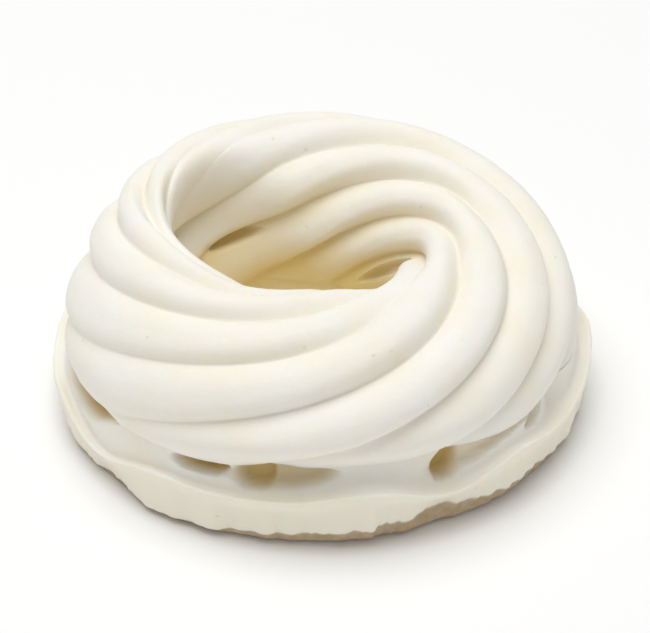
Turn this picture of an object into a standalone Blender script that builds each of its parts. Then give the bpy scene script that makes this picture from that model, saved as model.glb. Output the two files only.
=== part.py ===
"""A meringue ring, piped in one rope and baked dry, as one closed solid.

A star nozzle leaves nine rounded ridges on the rope. The rope turns on itself
as it is laid round, so that each ridge leaves the foot at the outside, climbs
over the top and runs down into the hollow. At the back left the rope's end
sinks beside its start. The rope stands on a wider foot with a wavy lip, and
the hollow is closed below by a thin floor.

Metres, +Z up, the middle of the flat underside at the origin.
"""
from math import cos, pi, radians, sin

import bmesh
import bpy
from mathutils import Vector

TOP = pi / 2

# The ring: the line that the middle of the rope follows.
RING_RADIUS = 0.0234
RING_PUSH = 0.0012
RING_PUSH_SIDE = radians(170)
RING_OVAL = 0.0006
RING_OVAL_SIDE = radians(70)

# The rope's section, seen from its middle: half widths, and the rise to its top.
ROPE_OUTWARD = 0.0134
ROPE_INWARD = 0.0094
ROPE_RISE = 0.0158
WIDEST_LEVEL = 0.0158
THICKER_BY = 0.0032
THICKER_SIDE = radians(-56)
HIGHER_BY = 0.0013
HIGHER_SIDE = radians(146)
ROPE_START = radians(-11)
ROPE_END = radians(196)

# The rope leans into the hollow at the back and at the front, and narrows it to a slit.
TAIL_BULGE = 0.0075
TAIL_SIDE = radians(85)
TAIL_REACH = radians(86)
NEAR_BULGE = 0.0041
NEAR_SIDE = radians(266)
NEAR_REACH = radians(38)

# The ridges that the nozzle leaves. They are lower at both ends of the section.
RIDGES = 9
GROOVE_DEPTH = 0.0022
CREST_WIDTH = 1.3
RIDGE_LEAN = radians(4)
STRENGTH_AT_FOOT = 0.45
STRENGTH_IN_HOLLOW = 0.35
FADE_SHARE = 0.26

# How the ridges turn round the rope, and how evenly they are spaced.
FIRST_RIDGE = radians(239.2)
TWIST = 1.365
TWIST_GAIN = 0.052
RIDGE_DRIFT = radians(6)
DRIFT_START = radians(137)
CROWDING = 0.156
CROWDED_SIDE = radians(41)

# Each ridge stands a little higher or lower than the last one.
UNEVEN = 0.0003
UNEVEN_STEP = 2.4
UNEVEN_TURNS = 2

# The groove at the front that is nearly worn away.
WORN_GROOVE = 1.5
WORN_SIDE = radians(305)
WORN_REACH = radians(42)
WORN_AWAY = 0.8

# The join: pressing the rope's end down closes its grooves over the top.
JOIN_SIDE = radians(136)
JOIN_REACH = radians(60)
JOIN_TURN = radians(108)
JOIN_DEPTH = radians(64)
JOIN_CLOSED = 0.92

# The rope's end sinks on its way down into the hollow, below a low shelf.
DIP = 0.0062
DIP_SIDE = radians(158)
DIP_BEFORE = radians(50)
DIP_AFTER = radians(70)
DIP_TURN = radians(149)
DIP_DEPTH = radians(55)
SHELF = 0.0013
SHELF_SIDE = radians(146)
SHELF_REACH = radians(50)
SHELF_TURN = radians(120)
SHELF_DEPTH = radians(40)

# The rope's start stands up beside it, from this place among the ridges on.
START_EDGE = 7.9
START_BEFORE = 6
EDGE_WIDTH = 0.5
START_LIFT = 0.0018
LIFT_SIDE = radians(188)
LIFT_REACH = radians(50)

# One flank has slumped: its lower part bulges, its shoulder sinks, and both its grooves
# and the foot's lip below it are lower.
SLUMP = 0.0040
SLUMP_SIDE = radians(200)
SLUMP_REACH = radians(70)
SLUMP_BALANCE = 0.5
SLUMP_SOFTENS = 0.4
SLUMP_LOWERS_LIP = 0.0020

# The rope's lower edge: ridges flare out to the foot, and grooves end in pockets.
FLARE = 0.8
FLARE_START = radians(18)
POCKET_DEPTH = 0.0014
SEAT_DEPTH = 0.0020
SEAT_SIDE = radians(276)
SEAT_REACH = radians(40)

# The foot's outline: radius and level of the underside's rim, the edge and the face.
FOOT_PROFILE = ((0.0366, 0.0), (0.0386, 0.0018), (0.0391, 0.0050))
FOOT_WAVE = 0.4

# The foot's lip, and its waves: how many go round, how strong, and where each is high.
LIP_RADIUS = 0.0388
LIP_LEVEL = 0.0091
LIP_ROUND = 0.0016
LIP_WAVE = 0.0008
LIP_WAVES = (
    (RIDGES, 1.0, radians(277)),
    (4, 0.5, radians(352)),
    (13, 0.4, radians(7)),
)
TROUGH_DROP = 0.0004
TROUGH_REACH = 0.3

# The hollow in the middle: rows below the rope, as shares of its inner wall, and levels.
WELL_ROWS = ((0.97, 0.0088), (0.90, 0.0074), (0.74, 0.0065), (0.40, 0.0062))

# How finely the surface is divided.
STEPS_PER_RIDGE = 12
COLUMNS = RIDGES * STEPS_PER_RIDGE
ROPE_ROWS = 22
SHARP_EDGE = radians(50)


def swell(angle, side, size):
    """A value that is largest towards one side of the ring."""
    return size * cos(angle - side)


def bump(turn, reach):
    """A smooth hill round the ring: 1 where turn is 0, and 0 from reach on."""
    turn = abs((turn + pi) % (2 * pi) - pi)
    return cos(pi / 2 * turn / reach) ** 2 if turn < reach else 0.0


def ring_angle(column, section_angle):
    """The direction in which a column of points lies, seen from above.

    A column follows one line of the twisted rope, so its direction changes
    with the height on the section.
    """
    climb = section_angle - TOP
    start = 2 * pi * column / COLUMNS
    angle = FIRST_RIDGE + start + RIDGE_DRIFT * sin(start - DRIFT_START)
    angle += TWIST * climb + TWIST_GAIN * climb * climb
    return angle - CROWDING * cos(angle - CROWDED_SIDE)


def section(angle, section_angle, inset=0.0):
    """Radius and height of the smooth rope, or of a line inset below its skin."""
    middle = RING_RADIUS + swell(angle, RING_PUSH_SIDE, RING_PUSH)
    middle += swell(2 * angle, 2 * RING_OVAL_SIDE, RING_OVAL)
    outward = cos(section_angle)
    if outward > 0:
        width = ROPE_OUTWARD
    else:
        width = ROPE_INWARD + TAIL_BULGE * bump(angle - TAIL_SIDE, TAIL_REACH)
        width += NEAR_BULGE * bump(angle - NEAR_SIDE, NEAR_REACH)
    width += swell(angle, THICKER_SIDE, THICKER_BY) - inset
    rise = ROPE_RISE + swell(angle, HIGHER_SIDE, HIGHER_BY) - inset
    return middle + width * outward, WIDEST_LEVEL + rise * sin(section_angle)


def groove(column, angle, section_angle):
    """How deep the skin lies below the ridges' crests: 0 on a crest, 1 in a groove."""
    across = column / STEPS_PER_RIDGE
    depth = (1 - abs(cos(pi * across))) ** CREST_WIDTH
    from_worn = (across - WORN_GROOVE + RIDGES / 2) % RIDGES - RIDGES / 2
    if abs(from_worn) < 0.5:
        depth *= 1 - WORN_AWAY * bump(angle - WORN_SIDE, WORN_REACH)
    pressed = bump(section_angle - JOIN_TURN, JOIN_DEPTH) * bump(angle - JOIN_SIDE, JOIN_REACH)
    return depth * (1 - JOIN_CLOSED * pressed)


def sinking(column, angle, section_angle):
    """How far the skin sinks at the join. It is negative where the rope stands up."""
    before_start = START_EDGE - column / STEPS_PER_RIDGE
    before_start = (before_start - START_BEFORE) % RIDGES + START_BEFORE - RIDGES
    is_end = sin(pi / 2 * min(1.0, max(0.0, before_start / EDGE_WIDTH))) ** 2
    past = (angle - DIP_SIDE + pi) % (2 * pi) - pi
    dip = DIP * bump(past, DIP_AFTER if past > 0 else DIP_BEFORE)
    dip *= bump(section_angle - DIP_TURN, DIP_DEPTH)
    shelf = SHELF * bump(angle - SHELF_SIDE, SHELF_REACH)
    shelf *= bump(section_angle - SHELF_TURN, SHELF_DEPTH)
    lift = START_LIFT * bump(angle - LIFT_SIDE, LIFT_REACH)
    lift *= bump(section_angle - JOIN_TURN, JOIN_DEPTH)
    return is_end * (dip - shelf) - (1 - is_end) * lift


def unevenness(column, section_angle):
    """How far one ridge stands above the others at this place on the section."""
    ridge = round(column / STEPS_PER_RIDGE) % RIDGES
    return UNEVEN * sin(UNEVEN_STEP * ridge + UNEVEN_TURNS * section_angle)


def strength(share):
    """How strongly the ridges stand out, from the foot (0) to the hollow (1)."""
    from_foot = STRENGTH_AT_FOOT + share / FADE_SHARE
    from_hollow = STRENGTH_IN_HOLLOW + (1 - share) / FADE_SHARE
    return min(1.0, from_foot, from_hollow)


def slumped(angle):
    """How far the flank has slumped at this place round the ring: 1 where most, 0 where not."""
    return bump(angle - SLUMP_SIDE, SLUMP_REACH)


def placed(angle, radius, height):
    return Vector((radius * cos(angle), radius * sin(angle), height))


def rope_row(share):
    """One closed row of points on the rope, from the foot (0) to the hollow (1)."""
    section_angle = ROPE_START + (ROPE_END - ROPE_START) * share
    low = max(0.0, (FLARE_START - section_angle) / (FLARE_START - ROPE_START)) ** 2
    points = []
    for column in range(COLUMNS):
        angle = ring_angle(column, section_angle)
        sunk = groove(column, angle, section_angle)
        ridge_strength = strength(share) * (1 - SLUMP_SOFTENS * slumped(angle))
        leaned = section_angle - RIDGE_LEAN * ridge_strength * (1 - sunk) * cos(section_angle)
        inset = GROOVE_DEPTH * ridge_strength * sunk - unevenness(column, section_angle)
        inset += sinking(column, angle, section_angle)
        radius, height = section(angle, leaned, inset)
        radius += SLUMP * slumped(angle) * max(0.0, cos(leaned)) * (SLUMP_BALANCE - sin(leaned))
        radius += low * FLARE * (1 - sunk) * (LIP_RADIUS - LIP_ROUND - radius)
        radius -= low * (POCKET_DEPTH * sunk + SEAT_DEPTH * bump(angle - SEAT_SIDE, SEAT_REACH))
        points.append(placed(angle, radius, height))
    return points


def lip_wave(angle):
    """The rise and fall of the foot's lip: about one wave for each ridge."""
    return LIP_WAVE * sum(size * cos(count * (angle - side)) for count, size, side in LIP_WAVES)


def foot_rows(first_rope_row):
    """Closed rows from the underside up to the trough where the rope stands."""
    rows = [[] for level in range(len(FOOT_PROFILE) + 3)]
    inner_radius = LIP_RADIUS - LIP_ROUND
    for column, rope in enumerate(first_rope_row):
        angle = ring_angle(column, ROPE_START)
        wave = lip_wave(angle)
        lip_level = LIP_LEVEL + wave - SLUMP_LOWERS_LIP * slumped(angle)
        rope_radius = Vector((rope.x, rope.y)).length
        trough_radius = rope_radius + TROUGH_REACH * max(0.0, inner_radius - rope_radius)
        profile = [(radius + FOOT_WAVE * wave, level) for radius, level in FOOT_PROFILE]
        profile.append((LIP_RADIUS + LIP_ROUND / 2, lip_level - LIP_ROUND / 2))
        profile.append((LIP_RADIUS - LIP_ROUND / 2, lip_level))
        profile.append((trough_radius, min(lip_level, rope.z) - TROUGH_DROP))
        for row, (radius, level) in zip(rows, profile):
            row.append(placed(angle, radius, level))
    return rows


def well_rows(last_rope_row):
    """Closed rows from the rope's inner wall down to the floor of the hollow."""
    rows = []
    for share, level in WELL_ROWS:
        rows.append([Vector((point.x * share, point.y * share, level)) for point in last_rope_row])
    return rows


def centred(rows):
    """Move the rows so that their box has its middle over the origin."""
    points = [point for row in rows for point in row]
    middle = Vector((
        (min(point.x for point in points) + max(point.x for point in points)) / 2,
        (min(point.y for point in points) + max(point.y for point in points)) / 2,
        0,
    ))
    return [[point - middle for point in row] for row in rows]


def skin(name, rows):
    """Join neighbouring rows with faces and close the underside and the floor."""
    bm = bmesh.new()
    loops = [[bm.verts.new(point) for point in row] for row in rows]
    for low, high in zip(loops, loops[1:]):
        for column in range(COLUMNS):
            after = (column + 1) % COLUMNS
            bm.faces.new((low[column], low[after], high[after], high[column]))
    bm.faces.new(loops[0])
    floor_middle = sum((vert.co for vert in loops[-1]), Vector()) / COLUMNS
    centre = bm.verts.new(floor_middle)
    for column in range(COLUMNS):
        bm.faces.new((loops[-1][column], loops[-1][(column + 1) % COLUMNS], centre))
    bmesh.ops.recalc_face_normals(bm, faces=bm.faces)
    mesh = bpy.data.meshes.new(name)
    bm.to_mesh(mesh)
    bm.free()
    return mesh


def meringue_material():
    material = bpy.data.materials.new("dried_meringue")
    material.use_nodes = True
    shader = material.node_tree.nodes["Principled BSDF"]
    shader.inputs["Base Color"].default_value = (0.90, 0.87, 0.77, 1)
    shader.inputs["Roughness"].default_value = 0.7
    shader.inputs["Metallic"].default_value = 0.0
    return material


def build_meringue():
    rope = [rope_row(row / ROPE_ROWS) for row in range(ROPE_ROWS + 1)]
    rows = centred(foot_rows(rope[0]) + rope + well_rows(rope[-1]))
    mesh = skin("meringue", rows)
    mesh.shade_smooth()
    mesh.set_sharp_from_angle(angle=SHARP_EDGE)
    mesh.materials.append(meringue_material())
    meringue = bpy.data.objects.new("meringue", mesh)
    bpy.context.scene.collection.objects.link(meringue)


for leftover in list(bpy.data.objects):
    bpy.data.objects.remove(leftover)
build_meringue()
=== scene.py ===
from math import cos, pi, radians, sin

import bpy
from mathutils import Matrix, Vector


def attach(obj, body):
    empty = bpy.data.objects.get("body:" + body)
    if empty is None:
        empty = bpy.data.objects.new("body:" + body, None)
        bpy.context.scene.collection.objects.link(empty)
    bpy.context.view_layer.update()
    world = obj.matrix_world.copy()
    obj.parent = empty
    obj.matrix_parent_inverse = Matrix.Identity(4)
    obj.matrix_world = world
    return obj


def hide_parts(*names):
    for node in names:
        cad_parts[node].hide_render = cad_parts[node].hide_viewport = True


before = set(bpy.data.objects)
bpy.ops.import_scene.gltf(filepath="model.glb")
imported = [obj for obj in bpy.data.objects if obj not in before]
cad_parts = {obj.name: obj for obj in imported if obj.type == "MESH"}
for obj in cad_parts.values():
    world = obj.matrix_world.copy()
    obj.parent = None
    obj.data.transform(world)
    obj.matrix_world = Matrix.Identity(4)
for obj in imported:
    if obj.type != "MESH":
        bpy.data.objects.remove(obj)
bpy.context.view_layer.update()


# ---- The camera ----
# A long lens on a tripod, looking down on the ring at 35 degrees from its front.
# It stands as close as one would stand to look at something this small.

LOOK_AT = Vector((0.0004, 0.0, 0.0128))
LOOK_DOWN = radians(34.9)
CAMERA_AWAY = 0.42
LENS_MM = 160.0

camera_data = bpy.data.cameras.new("camera")
camera_data.lens = LENS_MM
camera_data.clip_start = 0.01
camera = bpy.data.objects.new("camera", camera_data)
towards_camera = Vector((0.0, -cos(LOOK_DOWN), sin(LOOK_DOWN)))
camera.location = LOOK_AT + CAMERA_AWAY * towards_camera
camera.rotation_euler = towards_camera.to_track_quat("Z", "Y").to_euler()
bpy.context.scene.collection.objects.link(camera)
bpy.context.scene.camera = camera


# ---- The table ----
# A plain white sheet of matte board, far larger than the meringue.
# It throws light back up under the ridges.

BOARD_WIDTH = 6.0
BOARD_WHITE = (0.96, 0.96, 0.955, 1.0)

board_material = bpy.data.materials.new("matte_white_board")
board_material.use_nodes = True
board_shader = board_material.node_tree.nodes["Principled BSDF"]
board_shader.inputs["Base Color"].default_value = BOARD_WHITE
board_shader.inputs["Roughness"].default_value = 0.9
board_mesh = bpy.data.meshes.new("board")
half = BOARD_WIDTH / 2
board_mesh.from_pydata(
    [(-half, -half, 0.0), (half, -half, 0.0), (half, half, 0.0), (-half, half, 0.0)],
    [],
    [(0, 1, 2, 3)],
)
board_mesh.materials.append(board_material)
board = bpy.data.objects.new("board", board_mesh)
bpy.context.scene.collection.objects.link(board)


# ---- The light ----
# A white room all round, a wide soft box overhead and a little to the left and
# the front, as over a table for small goods.

ROOM_LIGHT = 0.50
SOFT_BOX_WATTS = 6.4
SOFT_BOX_WIDTH = 0.9
SOFT_BOX_AT = Vector((-0.10, 0.0, 1.0))

bpy.context.scene.view_settings.view_transform = "Standard"
room = bpy.data.worlds.new("white_room")
room.use_nodes = True
room.node_tree.nodes["Background"].inputs["Color"].default_value = (1.0, 1.0, 1.0, 1.0)
room.node_tree.nodes["Background"].inputs["Strength"].default_value = ROOM_LIGHT
bpy.context.scene.world = room

soft_box_data = bpy.data.lights.new("soft_box", "AREA")
soft_box_data.shape = "DISK"
soft_box_data.size = SOFT_BOX_WIDTH
soft_box_data.energy = SOFT_BOX_WATTS
soft_box = bpy.data.objects.new("soft_box", soft_box_data)
soft_box.location = SOFT_BOX_AT
soft_box.rotation_euler = SOFT_BOX_AT.to_track_quat("Z", "Y").to_euler()
bpy.context.scene.collection.objects.link(soft_box)


# ---- The meringue ----
# Egg white beaten with sugar, piped through a star nozzle in one thick rope that
# is laid round in a ring on a wider foot, then dried in a slow oven. The nozzle
# leaves nine rounded ridges, and they twist round the rope as it is laid.

SIZES = {
    # The line that the middle of the rope follows.
    "Ring radius": 0.0234,
    "Ring push": 0.0012,
    "Ring push side": radians(170),
    "Ring oval": 0.0006,
    "Ring oval side": radians(70),
    # The rope's section.
    "Rope outward": 0.0134,
    "Rope inward": 0.0094,
    "Rope rise": 0.0158,
    "Widest level": 0.0158,
    "Thicker by": 0.0032,
    "Thicker side": radians(-56),
    "Higher by": 0.0013,
    "Higher side": radians(146),
    "Rope start": radians(-11),
    "Rope end": radians(196),
    # The end of the rope, which leans into the hollow at the back.
    "Tail bulge": 0.0075,
    "Tail side": radians(85),
    "Tail reach": radians(86),
    # The rope's end dips beside its start, below a low shelf, and the start stands up.
    "Dip": 0.0062,
    "Dip side": radians(158),
    "Dip before": radians(50),
    "Dip after": radians(70),
    "Dip turn": radians(149),
    "Dip depth": radians(55),
    "Shelf": 0.0013,
    "Shelf side": radians(146),
    "Shelf reach": radians(50),
    "Shelf turn": radians(120),
    "Shelf depth": radians(40),
    "Start edge": 7.9,
    "Edge width": 0.5,
    "Start lift": 0.0018,
    "Lift side": radians(188),
    "Lift reach": radians(50),
    # The near side of the hollow, which leans in too.
    "Near bulge": 0.0041,
    "Near side": radians(266),
    "Near reach": radians(38),
    # The ridges.
    "Groove depth": 0.0022,
    "Crest width": 1.3,
    "Ridge lean": radians(4),
    "Strength at foot": 0.45,
    "Strength in hollow": 0.35,
    "Fade share": 0.26,
    "First ridge": radians(239.2),
    "Twist": 1.365,
    "Twist gain": 0.052,
    "Ridge drift": radians(6),
    "Drift start": radians(137),
    "Crowding": 0.156,
    "Crowded side": radians(41),
    "Uneven": 0.0003,
    # The groove at the front that is nearly worn away, and the join, where grooves close.
    "Worn groove": 1.5,
    "Worn side": radians(305),
    "Worn reach": radians(42),
    "Worn away": 0.8,
    "Join side": radians(136),
    "Join reach": radians(60),
    "Join turn": radians(108),
    "Join depth": radians(64),
    "Join closed": 0.92,
    # The left flank has slumped outwards: its grooves are shallow and the lip is low.
    "Slump": 0.0040,
    "Slump side": radians(200),
    "Slump reach": radians(70),
    "Slump balance": 0.5,
    "Slump softens": 0.4,
    "Slump lowers lip": 0.0020,
    # The rope's lower edge.
    "Flare": 0.8,
    "Flare start": radians(18),
    "Pocket depth": 0.0014,
    "Seat depth": 0.0020,
    "Seat side": radians(276),
    "Seat reach": radians(40),
    # The foot: its lip, the trough inside the lip, its face and its underside.
    "Lip radius": 0.0388,
    "Lip level": 0.0088,
    "Lip round": 0.0016,
    "Lip wave": 0.0008,
    "Trough drop": 0.0003,
    "Trough reach": 0.3,
    "Trough slope": 0.2,
    "Face radius": 0.0389,
    "Face wobble": 0.0009,
    "Foot wave": 0.4,
    "Underside radius": 0.0374,
    # The foot's lower edge, which has broken unevenly and lifted at the front right.
    "Edge level": 0.00072,
    "Edge height": 0.0010,
    "Edge taper": 0.0003,
    "Edge inset": 0.0007,
    "Ragged": 0.0017,
    "Lifted": 0.0022,
    "Lifted side": radians(292),
    "Lifted reach": radians(62),
    "Ragged unlifted": 0.25,
    # The dried skin.
    "Skin swell": 0.00034,
    "Skin grain": 0.00006,
    "Floor lumps": 2.4,
}
RIDGES = 9
# The ridges differ a little in height, each along its own length too.
UNEVEN_STEP = 2.4
UNEVEN_TURNS = 2.0
# The lip's waves: how many go round, how strong they are, and where one is highest.
LIP_WAVES = ((RIDGES, 1.0, radians(277)), (4, 0.5, radians(352)), (13, 0.4, radians(7)))
# The hollow's line: how far out, as a share of its wall's radius, and how high.
WELL_LINE = ((0.97, 0.0088), (0.90, 0.0074), (0.74, 0.0065), (0.40, 0.0062), (0.0, 0.0062))

# Open pockets where the rope didn't close on the foot, and two in the hollow. Each has
# its place across the ridges and up the rope, half of its length and of its height
# in the same measures, how it slants, and its depth.
POCKETS = (
    (2.30, -0.030, 0.36, 0.032, 0.06, 0.0038),
    (3.14, -0.032, 0.17, 0.022, 0.00, 0.0034),
    (3.43, -0.044, 0.13, 0.030, -0.05, 0.0030),
    (3.58, -0.040, 0.34, 0.028, 0.00, 0.0022),
    (4.54, -0.046, 0.11, 0.026, 0.10, 0.0032),
    (4.80, -0.032, 0.46, 0.024, 0.05, 0.0015),
    (5.24, -0.038, 0.12, 0.020, 0.10, 0.0018),
    (6.62, -0.030, 0.20, 0.038, 0.10, 0.0030),
    (7.55, -0.036, 0.30, 0.032, 0.04, 0.0018),
    (8.48, -0.024, 0.13, 0.040, -0.05, 0.0032),
    (0.55, -0.036, 0.28, 0.030, 0.08, 0.0022),
    (3.45, 0.878, 0.09, 0.030, 0.00, 0.0020),
    (1.24, 0.860, 0.14, 0.110, 0.00, 0.0016),
)

# From this depth on a pocket takes the full toffee colour; shallower ones are paler, so it is partly
# browning and partly painted shade.
FULL_TOFFEE_DEPTH = 0.0034
POCKET_STEEPNESS = 1.4
POCKET_SINKS = 0.35

# Rows of points: how many lie on the foot, on the rope and in the hollow.
POINTS_PER_RIDGE = 44
FOOT_ROWS = 68
ROPE_ROWS = 152
WELL_ROWS = 30


class Number:
    """A number worked out at every point of the skin, so that formulas read as written."""

    def __init__(self, tree, socket):
        self.tree = tree
        self.socket = socket

    def step(self, operation, *others):
        node = self.tree.nodes.new("ShaderNodeMath")
        node.operation = operation
        for place, value in zip(node.inputs, (self, *others)):
            if isinstance(value, Number):
                self.tree.links.new(value.socket, place)
            else:
                place.default_value = value
        return Number(self.tree, node.outputs[0])

    def __add__(self, other):
        return self.step("ADD", other)

    def __sub__(self, other):
        return self.step("SUBTRACT", other)

    def __mul__(self, other):
        return self.step("MULTIPLY", other)

    def __truediv__(self, other):
        return self.step("DIVIDE", other)

    def __pow__(self, power):
        return self.step("POWER", power)

    def __rsub__(self, other):
        return self * -1.0 + other

    def __neg__(self):
        return self * -1.0

    __radd__ = __add__
    __rmul__ = __mul__

    def sin(self):
        return self.step("SINE")

    def cos(self):
        return self.step("COSINE")

    def magnitude(self):
        return self.step("ABSOLUTE")

    def at_least(self, low):
        return self.step("MAXIMUM", low)

    def at_most(self, high):
        return self.step("MINIMUM", high)

    def within(self, low, high):
        return self.at_least(low).at_most(high)


def hill(turn, reach):
    """A smooth hill round the ring: 1 where turn is 0, and 0 from reach on."""
    away = turn.step("WRAP", pi, -pi).magnitude() / reach
    return (away.at_most(1.0) * (pi / 2)).cos() ** 2


def swell(angle, side, size):
    """A value that is largest towards one side of the ring."""
    return size * (angle - side).cos()


tree = bpy.data.node_groups.new("piped_ring", "GeometryNodeTree")
tree.is_modifier = True
tree.interface.new_socket("Geometry", in_out="INPUT", socket_type="NodeSocketGeometry")
tree.interface.new_socket("Geometry", in_out="OUTPUT", socket_type="NodeSocketGeometry")
for label, value in SIZES.items():
    tree.interface.new_socket(label, in_out="INPUT", socket_type="NodeSocketFloat").default_value = value
material_socket = tree.interface.new_socket("Material", in_out="INPUT", socket_type="NodeSocketMaterial")
given = tree.nodes.new("NodeGroupInput")
size = {label: Number(tree, given.outputs[label]) for label in SIZES}

# A flat grid is wound round: its length goes round the ring, and its width goes from
# the middle of the underside, up over the foot and the rope, to the floor of the hollow.
columns = RIDGES * POINTS_PER_RIDGE
all_rows = FOOT_ROWS + ROPE_ROWS + WELL_ROWS
grid = tree.nodes.new("GeometryNodeMeshGrid")
grid.inputs["Size X"].default_value = 1.0
grid.inputs["Size Y"].default_value = 1.0
grid.inputs["Vertices X"].default_value = columns + 1
grid.inputs["Vertices Y"].default_value = all_rows + 1
flat_place = tree.nodes.new("GeometryNodeInputPosition")
flat_parts = tree.nodes.new("ShaderNodeSeparateXYZ")
tree.links.new(flat_place.outputs[0], flat_parts.inputs[0])
round_share = Number(tree, flat_parts.outputs["X"]) + 0.5
row = (Number(tree, flat_parts.outputs["Y"]) + 0.5) * all_rows

travel = (row - FOOT_ROWS) / ROPE_ROWS
rope_share = travel.within(0.0, 1.0)
foot_share = (1.0 - row / FOOT_ROWS).within(0.0, 1.0)
well_share = ((row - (FOOT_ROWS + ROPE_ROWS)) / WELL_ROWS).within(0.0, 1.0)
across = round_share * RIDGES

# Where the column lies, seen from above.
turn = size["Rope start"] + (size["Rope end"] - size["Rope start"]) * rope_share
climb = turn - pi / 2
start = round_share * (2 * pi)
angle = size["First ridge"] + start + size["Ridge drift"] * (start - size["Drift start"]).sin()
angle = angle + size["Twist"] * climb + size["Twist gain"] * climb * climb
angle = angle - size["Crowding"] * (angle - size["Crowded side"]).cos()

# How deep the skin lies below the crests.
sunk = (1.0 - (across * pi).cos().magnitude()) ** size["Crest width"]
from_worn = (across - size["Worn groove"]).step("WRAP", RIDGES / 2, -RIDGES / 2).magnitude()
worn = from_worn.step("LESS_THAN", 0.5) * hill(angle - size["Worn side"], size["Worn reach"])
sunk = sunk * (1.0 - size["Worn away"] * worn)
pressed = hill(turn - size["Join turn"], size["Join depth"])
sunk = sunk * (1.0 - size["Join closed"] * pressed * hill(angle - size["Join side"], size["Join reach"]))
strength = (size["Strength at foot"] + rope_share / size["Fade share"]).at_most(1.0)
strength = strength.at_most(size["Strength in hollow"] + (1.0 - rope_share) / size["Fade share"])
slumped = hill(angle - size["Slump side"], size["Slump reach"])
strength = strength * (1.0 - size["Slump softens"] * slumped)
ridge = (across + 0.5).step("FLOOR").step("FLOORED_MODULO", RIDGES)
high = size["Uneven"] * (ridge * UNEVEN_STEP + turn * UNEVEN_TURNS).sin() * (1.0 - sunk)
inset = size["Groove depth"] * strength * sunk - high
leaned = turn - size["Ridge lean"] * strength * (1.0 - sunk) * turn.cos()

# The rope's section at this place.
middle = size["Ring radius"] + swell(angle, size["Ring push side"], size["Ring push"])
middle = middle + swell(angle * 2.0, size["Ring oval side"] * 2.0, size["Ring oval"])
outward = leaned.cos()
inner_width = size["Rope inward"] + size["Tail bulge"] * hill(angle - size["Tail side"], size["Tail reach"])
inner_width = inner_width + size["Near bulge"] * hill(angle - size["Near side"], size["Near reach"])
faces_out = outward.step("GREATER_THAN", 0.0)
width = size["Rope outward"] * faces_out + inner_width * (1.0 - faces_out)

# The rope's end dips beside its start, and the start stands up.
to_dip = (angle - size["Dip side"]).step("WRAP", pi, -pi)
past = to_dip.step("GREATER_THAN", 0.0)
dip_reach = size["Dip after"] * past + size["Dip before"] * (1.0 - past)
before_start = (size["Start edge"] - across).step("WRAP", RIDGES * 2 / 3, -RIDGES / 3)
edge = ((before_start / size["Edge width"]).within(0.0, 1.0) * (pi / 2)).sin() ** 2
dip = size["Dip"] * hill(to_dip, dip_reach) * hill(turn - size["Dip turn"], size["Dip depth"]) * edge
lift = size["Start lift"] * hill(angle - size["Lift side"], size["Lift reach"]) * (1.0 - edge)
lift = lift * hill(turn - size["Join turn"], size["Join depth"])
shelf = size["Shelf"] * hill(angle - size["Shelf side"], size["Shelf reach"])
lift = lift + shelf * hill(turn - size["Shelf turn"], size["Shelf depth"]) * edge
inset = inset + dip - lift

# The skin's own place: how far from the ring's middle line, and how high.
width = width + swell(angle, size["Thicker side"], size["Thicker by"]) - inset
rise = size["Rope rise"] + swell(angle, size["Higher side"], size["Higher by"]) - inset
slump = size["Slump"] * slumped * outward.at_least(0.0) * (size["Slump balance"] - leaned.sin())
rope_radius = middle + width * outward + slump
rope_level = size["Widest level"] + rise * leaned.sin()

# The lower edge flares out to the foot, and each groove ends in a pocket.
low = ((size["Flare start"] - turn) / (size["Flare start"] - size["Rope start"])).at_least(0.0) ** 2
lip_inner = size["Lip radius"] - size["Lip round"]
rope_radius = rope_radius + low * size["Flare"] * (1.0 - sunk) * (lip_inner - rope_radius)
seat = size["Seat depth"] * hill(angle - size["Seat side"], size["Seat reach"])
rope_radius = rope_radius - low * (size["Pocket depth"] * sunk + seat)


def bead(share, place, count):
    """How much one station of a smooth line counts at this share of the way along it."""
    away = (share * count - place).magnitude()
    wide = (2.0 - away).at_least(0.0) ** 3
    narrow = (1.0 - away).at_least(0.0) ** 3
    return (wide - narrow * 4.0) / 6.0


def smooth_line(share, stations):
    """A smooth line that starts at its first station, ends at its last and rounds the others."""
    count = len(stations) - 1
    first, last = stations[0], stations[-1]
    placed = [(-2, first), (-1, first), *enumerate(stations), (count + 1, last), (count + 2, last)]
    stretched = (share * (count + 2) - 1.0) / count
    radius = level = None
    for place, (station_radius, station_level) in placed:
        weight = bead(stretched, place, count)
        radius = weight * station_radius if radius is None else radius + weight * station_radius
        level = weight * station_level if level is None else level + weight * station_level
    return radius, level


# The foot: from the trough under the rope, over the lip and down to the underside.
wave = None
for count, strong, side in LIP_WAVES:
    part = (angle * count - count * side).cos() * strong
    wave = part if wave is None else wave + part
wave = wave * size["Lip wave"]
lip_level = size["Lip level"] + wave - size["Slump lowers lip"] * slumped
foot_wave = wave * size["Foot wave"]

# The foot was baked on paper. Its lower edge has broken away unevenly, more where it
# has lifted. It is whole where the noise lies below the first of these values.
WHOLE_BELOW = 0.36
BREAKS_STEEPNESS = 2.6
BREAKS_SCALE = 7.0
UNDER_RECEDES = 0.6
EDGE_RECEDES = 0.3
UNDER_SHARE = 0.7
UNDER_INSET = 0.0002
FLAT_SHARES = (0.88, 0.5, 0.0)
# The bead along the lip: how far out and up its stations lie, in halves of its width.
LIP_BEAD = ((-1.1, -0.2), (0.2, 1.0), (1.3, 0.0))
BELOW_BEAD = 2.0

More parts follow.
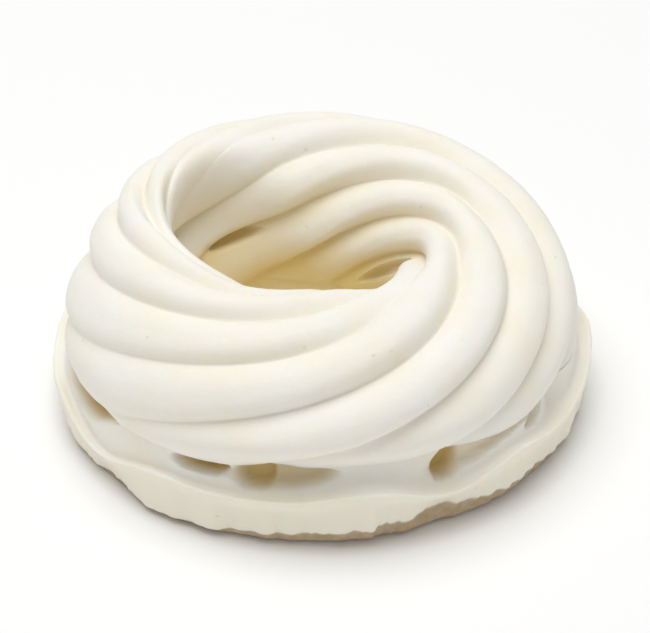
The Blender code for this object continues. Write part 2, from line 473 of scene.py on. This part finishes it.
around = tree.nodes.new("ShaderNodeCombineXYZ")
tree.links.new(angle.cos().socket, around.inputs["X"])
tree.links.new(angle.sin().socket, around.inputs["Y"])
breaks = tree.nodes.new("ShaderNodeTexNoise")
breaks.inputs["Scale"].default_value = BREAKS_SCALE
breaks.inputs["Detail"].default_value = 3.0
breaks.inputs["Roughness"].default_value = 0.6
tree.links.new(around.outputs[0], breaks.inputs["Vector"])
lifted = hill(angle - size["Lifted side"], size["Lifted reach"])
broken = ((Number(tree, breaks.outputs[0]) - WHOLE_BELOW) * BREAKS_STEEPNESS).within(0.0, 1.0)
unlifted = size["Ragged unlifted"]
ragged = broken * size["Ragged"] * (unlifted + lifted * (1.0 - unlifted))
face_radius = size["Face radius"] + foot_wave - size["Face wobble"] * broken
edge_radius = face_radius - size["Edge inset"] - ragged * EDGE_RECEDES
edge_level = size["Edge level"] + ragged + size["Lifted"] * lifted
under_radius = size["Underside radius"] - ragged * UNDER_RECEDES
trough_radius = rope_radius + size["Trough reach"] * (lip_inner - rope_radius).at_least(0.0)
trough_level = lip_level.at_most(rope_level) - size["Trough drop"]
trough_level = trough_level + (rope_level - trough_level) * size["Trough slope"]
half_round = size["Lip round"] * 0.5
foot_stations = [(rope_radius, rope_level), (trough_radius, trough_level)]
for out, up in LIP_BEAD:
    foot_stations.append((size["Lip radius"] + half_round * out, lip_level + half_round * up))
foot_stations.append((face_radius, lip_level - half_round * BELOW_BEAD))
foot_stations.append((face_radius - size["Edge taper"], edge_level + size["Edge height"]))
foot_stations.append((edge_radius, edge_level))
foot_stations.append((under_radius + foot_wave, edge_level * UNDER_SHARE))
foot_stations.append((under_radius - UNDER_INSET, 0.0))
for share in FLAT_SHARES:
    foot_stations.append((size["Underside radius"] * share, 0.0))
foot_radius, foot_level = smooth_line(foot_share, foot_stations)

# The hollow: from the rope's inner wall down to the floor.
well_stations = [(rope_radius, rope_level)]
for share, level in WELL_LINE:
    well_stations.append((rope_radius * share, level))
well_radius, well_level = smooth_line(well_share, well_stations)

on_foot = foot_share.step("GREATER_THAN", 0.0)
in_well = well_share.step("GREATER_THAN", 0.0)
on_rope = 1.0 - on_foot - in_well
radius = rope_radius * on_rope + foot_radius * on_foot + well_radius * in_well
level = rope_level * on_rope + foot_level * on_foot + well_level * in_well

# The pockets go in towards the middle of the ring and a little down.
hollowed = None
for place, height, half_length, half_height, slant, depth in POCKETS:
    sideways = (across - place).step("WRAP", RIDGES / 2, -RIDGES / 2)
    upward = (travel - height - sideways * slant) / half_height
    sideways = sideways / half_length
    near = ((1.0 - sideways * sideways - upward * upward) * POCKET_STEEPNESS).within(0.0, 1.0)
    near = near * near * (3.0 - near * 2.0)
    hollowed = near * depth if hollowed is None else hollowed.step("MAXIMUM", near * depth)
radius = radius - hollowed * outward.step("SIGN")
level = level - hollowed * POCKET_SINKS

placed = tree.nodes.new("ShaderNodeCombineXYZ")
tree.links.new((radius * angle.cos()).socket, placed.inputs["X"])
tree.links.new((radius * angle.sin()).socket, placed.inputs["Y"])
tree.links.new(level.socket, placed.inputs["Z"])


# The golden painted shade in the grooves fades out on the hollow's floor.
GROOVES_FADE = 1.5


def keep_value(mesh_socket, label, value):
    """Keep a number with each point, for the surface finish to read."""
    node = tree.nodes.new("GeometryNodeStoreNamedAttribute")
    node.data_type = "FLOAT"
    node.domain = "POINT"
    node.inputs["Name"].default_value = label
    tree.links.new(mesh_socket, node.inputs["Geometry"])
    tree.links.new(value.socket, node.inputs["Value"])
    return node.outputs["Geometry"]


on_wall = (1.0 - well_share * GROOVES_FADE).at_least(0.0)
skin = keep_value(grid.outputs["Mesh"], "groove", sunk * strength * on_wall)
skin = keep_value(skin, "travel", travel)
skin = keep_value(skin, "pocket", hollowed / FULL_TOFFEE_DEPTH)
wind = tree.nodes.new("GeometryNodeSetPosition")
tree.links.new(skin, wind.inputs["Geometry"])
tree.links.new(placed.outputs[0], wind.inputs["Position"])
SAME_POINT = 0.000004
close = tree.nodes.new("GeometryNodeMergeByDistance")
close.inputs["Distance"].default_value = SAME_POINT
tree.links.new(wind.outputs[0], close.inputs["Geometry"])

# The ring's box has its middle over the origin, as in the solid model.
box = tree.nodes.new("GeometryNodeBoundBox")
tree.links.new(close.outputs[0], box.inputs["Geometry"])
corners = tree.nodes.new("ShaderNodeVectorMath")
corners.operation = "ADD"
tree.links.new(box.outputs["Min"], corners.inputs[0])
tree.links.new(box.outputs["Max"], corners.inputs[1])
to_middle = tree.nodes.new("ShaderNodeVectorMath")
to_middle.operation = "MULTIPLY"
to_middle.inputs[1].default_value = (-0.5, -0.5, 0.0)
tree.links.new(corners.outputs[0], to_middle.inputs[0])
centre = tree.nodes.new("GeometryNodeSetPosition")
tree.links.new(close.outputs[0], centre.inputs["Geometry"])
tree.links.new(to_middle.outputs[0], centre.inputs["Offset"])

# The skin shrinks unevenly as the foam dries, most on the hollow's floor, and is
# slightly grainy. It nowhere stands above the piped form.
SWELLS_ACROSS = 170.0
GRAINS_ACROSS = 900.0
FULL_SWELL = 1.0
FULL_GRAIN = 0.7
FLOOR_STARTS = 1.0
FLOOR_RIM = 0.06
swelling = tree.nodes.new("ShaderNodeTexNoise")
swelling.inputs["Scale"].default_value = SWELLS_ACROSS
swelling.inputs["Detail"].default_value = 2.0
grain = tree.nodes.new("ShaderNodeTexNoise")
grain.inputs["Scale"].default_value = GRAINS_ACROSS
grain.inputs["Detail"].default_value = 2.0
relief = size["Skin swell"] * (Number(tree, swelling.outputs[0]) - FULL_SWELL)
relief = relief + size["Skin grain"] * (Number(tree, grain.outputs[0]) - FULL_GRAIN)
way_up = tree.nodes.new("GeometryNodeInputNamedAttribute")
way_up.data_type = "FLOAT"
way_up.inputs["Name"].default_value = "travel"
on_floor = ((Number(tree, way_up.outputs[0]) - FLOOR_STARTS) / FLOOR_RIM).within(0.0, 1.0)
relief = relief * (1.0 + on_floor * size["Floor lumps"])
normal = tree.nodes.new("GeometryNodeInputNormal")
push = tree.nodes.new("ShaderNodeVectorMath")
push.operation = "SCALE"
tree.links.new(normal.outputs[0], push.inputs[0])
tree.links.new(relief.socket, push.inputs["Scale"])
dry = tree.nodes.new("GeometryNodeSetPosition")
tree.links.new(centre.outputs[0], dry.inputs["Geometry"])
tree.links.new(push.outputs[0], dry.inputs["Offset"])

smooth = tree.nodes.new("GeometryNodeSetShadeSmooth")
tree.links.new(dry.outputs[0], smooth.inputs["Geometry"])
whole = tree.nodes.new("GeometryNodeRealizeInstances")
tree.links.new(smooth.outputs[0], whole.inputs[0])
coat = tree.nodes.new("GeometryNodeSetMaterial")
tree.links.new(whole.outputs[0], coat.inputs["Geometry"])
tree.links.new(given.outputs["Material"], coat.inputs["Material"])
result = tree.nodes.new("NodeGroupOutput")
tree.links.new(coat.outputs[0], result.inputs["Geometry"])

# The finish: dry, matte and ivory, with golden painted shade in the grooves and the hollow,
# toffee-coloured pockets that darken with depth as painted shade, and a brownish painted shadow under the
# foot's edge.
IVORY = (0.912, 0.893, 0.845, 1.0)
CREAM_AND_FACE_SHADE = (0.895, 0.855, 0.73, 1.0)
PAINTED_SHADE_GOLD = (0.80, 0.62, 0.24, 1.0)
TOFFEE_AND_POCKET_SHADE = (0.66, 0.47, 0.13, 1.0)
BROWN_PAINTED_SHADOW = (0.42, 0.29, 0.15, 1.0)

meringue_material = bpy.data.materials.new("dried_meringue_skin")
meringue_material.use_nodes = True
finish = meringue_material.node_tree
shader = finish.nodes["Principled BSDF"]
own_place = finish.nodes.new("ShaderNodeTexCoord")


def kept(label):
    """A number kept with each point of the skin."""
    node = finish.nodes.new("ShaderNodeAttribute")
    node.attribute_name = label
    return Number(finish, node.outputs["Fac"])


def blend(first, second, share):
    """One colour that goes over into another."""
    node = finish.nodes.new("ShaderNodeMix")
    node.data_type = "RGBA"
    finish.links.new(share.socket, node.inputs["Factor"])
    for place, colour in ((node.inputs[6], first), (node.inputs[7], second)):
        if isinstance(colour, tuple):
            place.default_value = colour
        else:
            finish.links.new(colour, place)
    return node.outputs[2]


def ramp(value, low, high):
    """A share that rises from 0 at the low value to 1 at the high one."""
    return ((value - low) / (high - low)).within(0.0, 1.0)


def speckle(scale, detail):
    """Soft irregular spots all through the foam."""
    node = finish.nodes.new("ShaderNodeTexNoise")
    node.inputs["Scale"].default_value = scale
    node.inputs["Detail"].default_value = detail
    finish.links.new(own_place.outputs["Object"], node.inputs["Vector"])
    return Number(finish, node.outputs[0])


# Soft clouds, crumbs and grains all through the foam, and here and there an open bubble.
BUBBLES_ACROSS = 420.0
BUBBLE_SHARE = 0.07
BUBBLE_RADIUS = 0.16

clouds = speckle(scale=120.0, detail=3.0)
crumbs = speckle(scale=700.0, detail=2.0)
grains = speckle(scale=2600.0, detail=3.0)
bubbles = finish.nodes.new("ShaderNodeTexVoronoi")
bubbles.inputs["Scale"].default_value = BUBBLES_ACROSS
finish.links.new(own_place.outputs["Object"], bubbles.inputs["Vector"])
chance = finish.nodes.new("ShaderNodeSeparateColor")
finish.links.new(bubbles.outputs["Color"], chance.inputs[0])
is_open = Number(finish, chance.outputs[0]).step("GREATER_THAN", 1.0 - BUBBLE_SHARE)
from_bubble = Number(finish, bubbles.outputs["Distance"])
bubble = is_open * (1.0 - from_bubble / BUBBLE_RADIUS).within(0.0, 1.0)

# Where the painted shade and the painted shadow lie, along the way up: 0 is the rope's lower edge and 1
# its inner end, the foot lies below 0 and the hollow's floor above 1.
DEEP_DOWN = (0.58, 0.88)
AT_BOTTOM = (0.84, 0.96)
MIDDLE_OF_FLOOR = (1.03, 1.09)
FOOT_FACE = (0.13, 0.16)
FOOT_UNDERSIDE = (0.25, 0.27)
# How strong the golden painted shade is there, how unevenly, how much creamy tone (random, and painted
# shade on the foot's face) and how much brownish painted shadow there is.
SHADE_IN_GROOVES = 0.08
SHADE_IN_DEEP_GROOVES = 0.50
SHADE_DEEP_DOWN = 0.10
SHADE_AT_BOTTOM = 0.60
FLOOR_PALER = 0.7
BOTTOM_EVEN = 0.55
BOTTOM_CLOUDED = 0.9
GOLD_CLOUDED = 0.10
MOST_GOLD = 0.9
CREAM_CLOUDED = 1.6
CREAM_STARTS = 0.4
CREAM_SHADE_ON_FACE = 0.7
POCKET_FADE = 1.3
EDGE_SHADOW_EVEN = 0.6
EDGE_SHADOW_CRUMBS = 0.5
SHADE_IN_BUBBLES = 0.5

way_in = kept("travel")
deep_down = ramp(way_in, *DEEP_DOWN)
hollow_crease_shade = ramp(way_in, *AT_BOTTOM) * (1.0 - ramp(way_in, *MIDDLE_OF_FLOOR) * FLOOR_PALER)
hollow_crease_shade = hollow_crease_shade * (BOTTOM_EVEN + clouds * BOTTOM_CLOUDED)
# Golden painted shade in the grooves, stronger deep in the hollow, and in the crease at the hollow's foot,
# paler in the middle of its floor; the clouds add a little random tone.
golden_shade_and_tone = kept("groove") * (SHADE_IN_GROOVES + deep_down * SHADE_IN_DEEP_GROOVES)
golden_shade_and_tone = golden_shade_and_tone + deep_down * SHADE_DEEP_DOWN + hollow_crease_shade * SHADE_AT_BOTTOM
golden_shade_and_tone = (golden_shade_and_tone + (clouds - 0.5) * GOLD_CLOUDED).within(0.0, MOST_GOLD)
# Creamy tone: random clouds all over, and painted shade on the foot's face below the lip.
creamy_tone_and_face_shade = clouds * CREAM_CLOUDED - CREAM_STARTS + ramp(-way_in, *FOOT_FACE).at_most(CREAM_SHADE_ON_FACE)
# Brownish painted shadow on the foot's lowest edge and underside, where the lifted edge shades the
# undercut, uneven with the crumbs.
painted_edge_shadow = ramp(-way_in, *FOOT_UNDERSIDE) * (EDGE_SHADOW_EVEN + crumbs * EDGE_SHADOW_CRUMBS)
colour = blend(IVORY, CREAM_AND_FACE_SHADE, creamy_tone_and_face_shade.within(0.0, 1.0))
colour = blend(colour, PAINTED_SHADE_GOLD, golden_shade_and_tone)
# Toffee colour in the pockets, darker the deeper they are: partly browning, partly painted shade in the
# recesses.
colour = blend(colour, TOFFEE_AND_POCKET_SHADE, (kept("pocket") ** POCKET_FADE).at_most(1.0))
colour = blend(colour, BROWN_PAINTED_SHADOW, painted_edge_shadow.at_most(1.0))
# Golden painted shade inside the open bubbles.
colour = blend(colour, PAINTED_SHADE_GOLD, bubble * SHADE_IN_BUBBLES)
finish.links.new(colour, shader.inputs["Base Color"])

# Dry foam is rough, lets light in a little way, and feels grainy.
SMOOTHEST = 0.60
ROUGHER_IN_CRUMBS = 0.22

finish.links.new((SMOOTHEST + crumbs * ROUGHER_IN_CRUMBS).socket, shader.inputs["Roughness"])
shader.inputs["Subsurface Weight"].default_value = 0.30
shader.inputs["Subsurface Radius"].default_value = (1.0, 0.62, 0.3)
shader.inputs["Subsurface Scale"].default_value = 0.0028
touch = finish.nodes.new("ShaderNodeBump")
touch.inputs["Strength"].default_value = 0.5
touch.inputs["Distance"].default_value = 0.00012
finish.links.new((grains * 0.5 + crumbs * 0.9 - bubble * 2.0).socket, touch.inputs["Height"])
finish.links.new(touch.outputs["Normal"], shader.inputs["Normal"])

# The flat sheet of the tree is wound into the ring once, and kept as a plain mesh.
blank = bpy.data.meshes.new("blank")
former = bpy.data.objects.new("former", blank)
bpy.context.scene.collection.objects.link(former)
winding = former.modifiers.new("piped_ring", "NODES")
winding.node_group = tree
for item in tree.interface.items_tree:
    if item.in_out == "INPUT" and item.name in SIZES:
        winding[item.identifier] = SIZES[item.name]
winding[material_socket.identifier] = meringue_material

bpy.context.view_layer.update()
baked = bpy.data.meshes.new_from_object(former.evaluated_get(bpy.context.evaluated_depsgraph_get()))
bpy.data.objects.remove(former)
meringue = bpy.data.objects.new("meringue_ring", baked)
bpy.context.scene.collection.objects.link(meringue)
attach(meringue, "root")
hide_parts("meringue")
